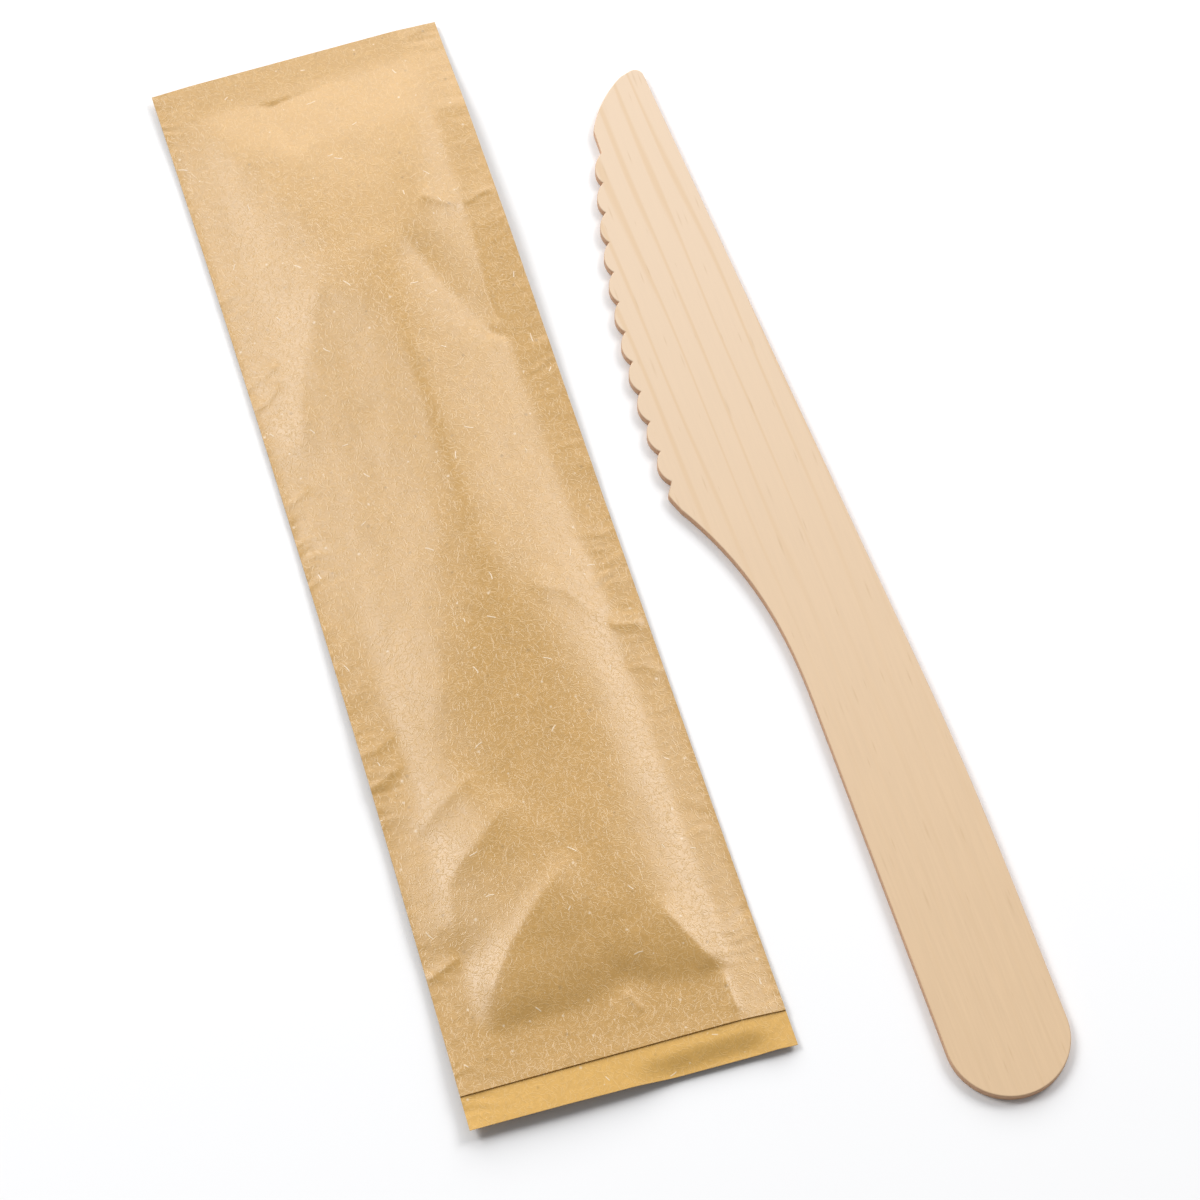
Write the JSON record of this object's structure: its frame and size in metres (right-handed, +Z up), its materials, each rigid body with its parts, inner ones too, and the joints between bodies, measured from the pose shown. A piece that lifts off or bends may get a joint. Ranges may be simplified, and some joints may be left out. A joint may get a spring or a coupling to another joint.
{
  "type": "wooden cutlery pack",
  "caption": "Sealed brown kraft paper sachet of disposable cutlery, lying flat beside a bare toothed birch wood knife.",
  "frame": {"origin": "on the table, under the middle of the box round both things", "axes": "+Z up from the table, +Y from the sachet's lip and the knife's butt towards its head and the knife's tip, +X from the sachet to the knife; both things are turned about 17.5 degrees from +Y towards -X"},
  "size_m": [0.1222, 0.1654, 0.0044],
  "materials": {
    "kraft_paper": "brown kraft paper, smooth and slightly sheened outside, with fine fibres",
    "birch_veneer": "bare sanded birch veneer, matt, with fine grain along the length"
  },
  "bodies": {
    "root": {"paper_sachet": "kraft_paper", "wooden_knife": "birch_veneer"}
  },
  "joints": []
}
